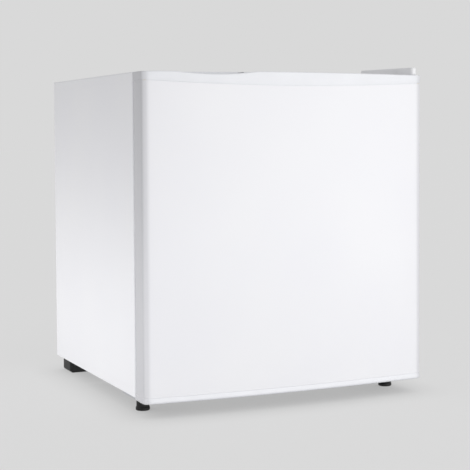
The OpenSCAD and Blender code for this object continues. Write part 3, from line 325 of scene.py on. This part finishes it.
def closed_sweep(name, points, rungs, ends):
    """Mesh of a closed profile carried along a path, whose points have one row for each place on the path.

    The two end rows are closed by the quads between each pair of rungs and by the faces in ends.
    """
    rows, around = points.shape[:2]
    index = np.arange(rows * around).reshape(rows, around)
    beside = np.roll(index, -1, axis=1)
    sides = np.stack([index[:-1], index[1:], beside[1:], beside[:-1]], axis=-1).reshape(-1, 4).tolist()
    closing = [(a, c, d, b) for (a, b), (c, d) in zip(rungs, rungs[1:])] + ends
    last = (rows - 1) * around
    faces = sides + closing + [tuple(last + i for i in reversed(face)) for face in closing]
    mesh = bpy.data.meshes.new(name)
    mesh.from_pydata(points.reshape(-1, 3).tolist(), [], faces)
    shell = bmesh.new()
    shell.from_mesh(mesh)
    bmesh.ops.remove_doubles(shell, verts=shell.verts, dist=SAME)
    shell.to_mesh(mesh)
    shell.free()
    mesh.validate()
    mesh.polygons.foreach_set("use_smooth", np.ones(len(mesh.polygons), dtype=bool))
    mesh.set_sharp_from_angle(angle=math.radians(32))
    piece = bpy.data.objects.new(name, mesh)
    scene.collection.objects.link(piece)
    return piece


def stands_for(piece, node, body, finish):
    """Puts a piece on the body in the CAD node's place with its finish, and hides the CAD node."""
    piece.data.materials.append(FINISHES[finish])
    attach(piece, body)
    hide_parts(node)
    pieces.objects.link(piece)


def end_cap(name, up, low, edge, radius, across, cuts):
    """Moulded cap at the door's upper (up = 1) or lower (up = -1) end, swept along the door's width.

    low(x) is the seam's height and edge(x, y) the height of the end face. The radius r rounds the edge
    between them: at the angle a it is r (1 - cos a) in from the face and r (1 - sin a) short of the edge.
    A tongue reaches behind the skin, and from the seam to the rounded edge the face flares out by PROUD.
    cuts(x, y_front, y_back) gives the points across the end face.
    """
    turn = np.radians([0, 15, 30, 45, 60, 75, 90])
    rise = np.array([0.0, 0.0, 0.0, 0.04, 0.35, 0.7])
    inset = np.concatenate([PROUD * (1 - rise), radius * (1 - np.cos(turn))])
    inset[:3] += TONGUE_IN, TONGUE_IN, GAP
    share = np.concatenate([rise, np.ones(len(turn))])
    lift = np.concatenate([0 * rise, radius * np.sin(turn)]) * up
    lift[0] = -up * TONGUE

    def heights(x, y, foot):
        return foot + (edge(x, y) - up * radius - foot) * share + lift

    x, y = front_line(across, inset)
    foot = low(x) + up * GAP
    front = np.stack([x, y, heights(x, y, foot)], axis=-1)
    behind = np.full_like(x, BACK) - np.concatenate([0 * rise, radius * (1 - np.cos(turn))])
    foot = np.where(np.abs(x) < HALF - FOLD - GAP, low(0.0), low(x)) + up * GAP
    back = np.stack([x, behind, heights(x, behind, foot)], axis=-1)
    face = cuts(x[:, -1:], y[:, -1:], behind[:, -1:])
    points = np.concatenate([front, face, back[:, ::-1]], axis=1)
    levels = len(inset)
    around = points.shape[1]
    rungs = [(i, around - 1 - i) for i in range(levels)]
    return closed_sweep(name, points[::up], rungs, [tuple(range(levels - 1, around - levels + 1))])


GRIP_LEFT = -0.172               # the grip pocket in the top cap
GRIP_RIGHT = -0.068
GRIP_FRONT = BACK - 0.032
GRIP_BACK = BACK - 0.016
GRIP_DEEP = 0.0094
GRIP_ROUND = 0.006               # corner radius of the pocket
DIP = 0.003                      # the lip before the pocket dips by this much
DIP_R = 0.4875                   # along an arc of this radius
DIP_BLEND = 0.0004               # softness of the dip's ends
SLOPE = 0.01                     # the dip rises to the crown over this distance


def cap_top(x, y):
    """Height of the top cap's upper face.

    It is the parabola a of the crown, and before the pocket the lower of a and the dip's arc b, joined
    smoothly by (a + b - sqrt((a - b)^2 + e^2)) / 2. One turns into the other by t^2 (3 - 2 t) from front
    to back.
    """
    crown = CROWN * (1 - (x / HALF) ** 2)
    away = np.minimum(np.abs(x - (GRIP_LEFT + GRIP_RIGHT) / 2), 0.2)
    arc = -DIP + DIP_R - np.sqrt(DIP_R**2 - away**2)
    lip = (crown + arc - np.sqrt((crown - arc) ** 2 + DIP_BLEND**2)) / 2
    back = np.clip((y - GRIP_FRONT + 0.001) / SLOPE, 0, 1)
    back = back**2 * (3 - 2 * back)
    return TOP + crown * back + lip * (1 - back)


def pocket(x, front, back):
    """Points across the top cap's upper face, which go down into the grip pocket where x is within it.

    The pocket is a rounded rectangle in plan: d from its end, its half width is
    h - r + sqrt(r^2 - (r - d)^2). aside and below give its rounded rim, its wall and its rounded foot.
    """
    inside = np.clip(np.minimum(x - GRIP_LEFT, GRIP_RIGHT - x), 0, GRIP_ROUND)
    half = (GRIP_BACK - GRIP_FRONT) / 2 - GRIP_ROUND + np.sqrt(GRIP_ROUND**2 - (GRIP_ROUND - inside) ** 2)
    middle = (GRIP_BACK + GRIP_FRONT) / 2
    aside = np.array([0.0006, 0.0002, 0.0, 0.0, -0.0003, -0.001])
    below = np.array([0.0, 0.0001, 0.0005, GRIP_DEEP - 0.001, GRIP_DEEP - 0.0003, GRIP_DEEP])
    steps = np.array([0.25, 0.5, 0.75])
    near = middle - half - aside
    far = middle + half + aside
    before = front + (near[:, :1] - front) * steps
    after = far[:, :1] + (back - far[:, :1]) * steps
    y = np.concatenate([before, near, middle + 0 * x, far[:, ::-1], after], axis=1)
    depth = np.concatenate([0 * steps, below, [GRIP_DEEP], below[::-1], 0 * steps])
    z = cap_top(x, y)
    sunk = np.where(depth > 0.001, TOP - depth, z - depth)
    z = np.where((x > GRIP_LEFT + 1e-6) & (x < GRIP_RIGHT - 1e-6), sunk, z)
    return np.stack([x + 0 * y, y, z], axis=-1)


def plain_face(x, front, back):
    """Points across the bottom cap's flat lower face."""
    y = front + (back - front) * np.array([0.25, 0.5, 0.75])
    return np.stack([x + 0 * y, y, np.full_like(y, SILL_LOW[2])], axis=-1)


def steel_skin():
    """The door's steel front: a section of sheet carried along the plan and folded in behind at both ends.

    Each fold is a quarter circle of radius r: at the angle a it is r (1 - sin a) in from the side and
    r (1 - cos a) in from the back.
    """
    across = np.linspace(-(HALF - CORNER_ALONG), HALF - CORNER_ALONG, 97)
    x, y = front_line(across, np.array([PROUD, PROUD + SHEET]))
    behind = SKIN_HIGH[1]
    turn = np.radians(np.linspace(0, 90, 7))[:, None]
    bend = np.array([0.0018, 0.001])     # its outer and inner radius
    side = -(HALF - np.array([PROUD, PROUD + SHEET]))
    edge = np.array([behind, behind - SHEET])
    fold_x = np.concatenate([[[FOLD - HALF] * 2], side + bend * (1 - np.sin(turn))])
    fold_y = np.concatenate([[edge], edge - bend * (1 - np.cos(turn))])
    x = np.concatenate([fold_x, x, -fold_x[::-1]])
    y = np.concatenate([fold_y, y, fold_y[::-1]])
    low = np.full_like(x, SKIN_LOW[2])
    high = seam(x) - GAP
    rows = [(x[:, i], y[:, i], z[:, i]) for i, z in ((0, low), (0, high), (1, high), (1, low))]
    points = np.stack([np.stack(row, axis=-1) for row in rows], axis=1)
    return closed_sweep("door_front", points, [], [(0, 1, 2, 3)])


COVER_LOW, COVER_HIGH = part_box("hinge_cover")


def cover_outline(inset):
    """The hinge cover's plan for each inset: the outline round two discs behind and two round the pin.

    At the angle a it is the point c + (r - inset) (cos a, sin a) of the disc that reaches furthest that way.
    """
    rear_round = 0.004
    rear = COVER_HIGH[1] - rear_round
    pin_x = COVER_HIGH[0] - 0.0075
    pin_y = COVER_LOW[1] + 0.0155
    centre = np.array([
        [COVER_LOW[0] + rear_round, rear],
        [COVER_HIGH[0] - 0.0045, rear],
        [pin_x, pin_y],
        [pin_x - 0.0015, pin_y - 0.008],
    ])
    radius = np.array([rear_round, rear_round, 0.0062, 0.005])
    angle = np.linspace(0, 2 * np.pi, 145)[:-1]
    away = np.stack([np.cos(angle), np.sin(angle)], axis=-1)
    furthest = np.argmax(away @ centre.T + radius, axis=1)
    return centre[furthest][None] + (radius[furthest][None] - inset[:, None])[..., None] * away[None]


def upper_hinge_cover():
    """The moulded cover over the upper hinge.

    Its plan is carried upwards, and its upper edge is rounded by a quarter circle. Its lid is crowned by k:
    where the outline has shrunk to s of itself, z = top + k (1 - s^2).
    """
    turn = np.radians(np.linspace(0, 90, 7))
    edge = 0.002
    crown = 0.0004
    foot = 0.0004
    tall = COVER_HIGH[2] - COVER_LOW[2] - crown
    inset = np.concatenate([[foot, 0.0], edge * (1 - np.cos(turn))])
    z = np.concatenate([[0.0, foot], tall - edge * (1 - np.sin(turn))])
    walls = cover_outline(inset)
    rim = walls[-1]
    shrink = np.array([0.8, 0.5, 0.2])[:, None, None]
    lid = rim.mean(axis=0) + (rim - rim.mean(axis=0)) * shrink
    z = np.concatenate([z, z[-1] + crown * (1 - shrink[:, 0, 0] ** 2)]) + COVER_LOW[2]
    plan = np.concatenate([walls, lid])
    around = plan.shape[1]
    points = np.concatenate([plan, np.broadcast_to(z[:, None, None], plan.shape[:2] + (1,))], axis=-1)
    return closed_sweep("upper_hinge_cover", points[::-1], [], [tuple(range(around))])


pieces = bpy.data.collections.new("lit_by_lamps")
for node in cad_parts.values():
    pieces.objects.link(node)

even = np.linspace(-(HALF - CORNER_ALONG), HALF - CORNER_ALONG, 87)
grip_ends = np.linspace(0, GRIP_ROUND, 7)
grip_ends[0] = 0.00002           # the pocket's end wall stands almost upright
outside = (even < GRIP_LEFT) | (even > GRIP_RIGHT)
straight = np.abs(even - (GRIP_LEFT + GRIP_RIGHT) / 2) < 0.045
around_grip = [[GRIP_LEFT, GRIP_RIGHT], GRIP_LEFT + grip_ends, GRIP_RIGHT - grip_ends]
closer = np.unique(np.concatenate([even[outside | straight]] + around_grip))
top_cap = end_cap("top_cap", 1, seam, cap_top, 0.0015, closer, pocket)
stands_for(top_cap, "door_top_cap", "door", "door_abs_painted_side_shade")
bottom_cap = end_cap(
    "bottom_cap", -1, lambda x: SILL_HIGH[2] + 0 * x, lambda x, y: SILL_LOW[2] + 0 * x, 0.003,
    even, plain_face)
stands_for(bottom_cap, "door_bottom_cap", "door", "door_abs_painted_side_shade")
stands_for(steel_skin(), "door_skin", "door", "door_enamel_painted_side_shade")
stands_for(upper_hinge_cover(), "hinge_cover", "cabinet", "white_abs")

# ---------------------------------------------------------------- floor, world and lamps

BACKDROP = "#D9D9D9"
FAR = 30.0                       # the floor ends this far away

floor_mesh = bpy.data.meshes.new("floor")
corners = [(-FAR, -FAR, 0), (FAR, -FAR, 0), (FAR, FAR, 0), (-FAR, FAR, 0)]
floor_mesh.from_pydata(corners, [], [(0, 1, 2, 3)])
floor = bpy.data.objects.new("floor", floor_mesh)
scene.collection.objects.link(floor)
# Matt floor paint, rolled on a smooth floor
material, tree, shader, place = start("matt_floor_paint")
plain(shader, Roughness=0.9, Specular_IOR_Level=0.0)


def shown(tree):
    """1 for what is seen directly, mirrored or through glass, 0 for light that falls on the object."""
    ways = add(tree, "ShaderNodeLightPath").outputs
    seen = ways["Is Camera Ray"]
    for way in ("Is Glossy Ray", "Is Transmission Ray"):
        seen = add(tree, "ShaderNodeMath", {0: seen, 1: ways[way]}, operation="MAXIMUM").outputs[0]
    return seen


GLOW = 0.605                     # lifts the shown floor to the backdrop's tone, and its shadow with it
REACH = 0.06                     # the close shadow fades out over this distance
OPEN = 0.3                       # share of the lift that the close shadow leaves
FADE = 0.3                       # power that makes the close shadow fall off quickly
seen = shown(tree)
paint = add(tree, "ShaderNodeMix", {0: seen, 6: linear("#EEEEEE"), 7: linear("#6C6C6C")}, data_type="RGBA")
tree.links.new(paint.outputs[2], shader.inputs["Base Color"])
close = add(tree, "ShaderNodeAmbientOcclusion", {"Distance": REACH}, samples=16).outputs["AO"]
close = add(tree, "ShaderNodeMath", {0: close, 1: FADE}, operation="POWER").outputs[0]
close = add(tree, "ShaderNodeMath", {0: close, 1: 1 - OPEN, 2: OPEN}, operation="MULTIPLY_ADD").outputs[0]
lift = add(tree, "ShaderNodeMath", {0: seen, 1: GLOW}, operation="MULTIPLY").outputs[0]
lift = add(tree, "ShaderNodeMath", {0: lift, 1: close}, operation="MULTIPLY")
glow = add(tree, "ShaderNodeEmission", {0: (1, 1, 1, 1), 1: lift.outputs[0]})
both = add(tree, "ShaderNodeAddShader", {0: shader.outputs[0], 1: glow.outputs[0]})
tree.links.new(both.outputs[0], tree.nodes["Material Output"].inputs[0])
floor_mesh.materials.append(material)

SKY = 0.6                        # strength of the even light from all round
world = bpy.data.worlds.new("studio")
scene.world = world
world.use_nodes = True
tree = world.node_tree
tree.nodes.clear()
room = add(tree, "ShaderNodeBackground", {0: (1, 1, 1, 1), 1: SKY})
wall = add(tree, "ShaderNodeBackground", {0: linear(BACKDROP), 1: 1.0})
both = add(tree, "ShaderNodeMixShader", {0: shown(tree), 1: room.outputs[0], 2: wall.outputs[0]})
add(tree, "ShaderNodeOutputWorld", {0: both.outputs[0]})


def lamp(name, place, target, size, power):
    """Soft lamp of size metres and power watts at place, which faces target and lights only the object."""
    data = bpy.data.lights.new(name, "AREA")
    data.shape = "RECTANGLE"
    data.size, data.size_y = size
    data.energy = power
    made = bpy.data.objects.new(name, data)
    made.location = place
    made.rotation_euler = (Vector(target) - Vector(place)).to_track_quat("-Z", "Y").to_euler()
    made.visible_camera = False
    scene.collection.objects.link(made)
    made.light_linking.receiver_collection = pieces
    made.light_linking.blocker_collection = pieces
    return made


lamp("front", (0.6, -1.45, 0.33), (0.0, -0.2, 0.25), (1.3, 1.3), 10.6)
lamp("left_low", (-0.58, 0.05, 0.09), (-0.23, 0.05, 0.09), (1.3, 0.2), 1.6).visible_glossy = False
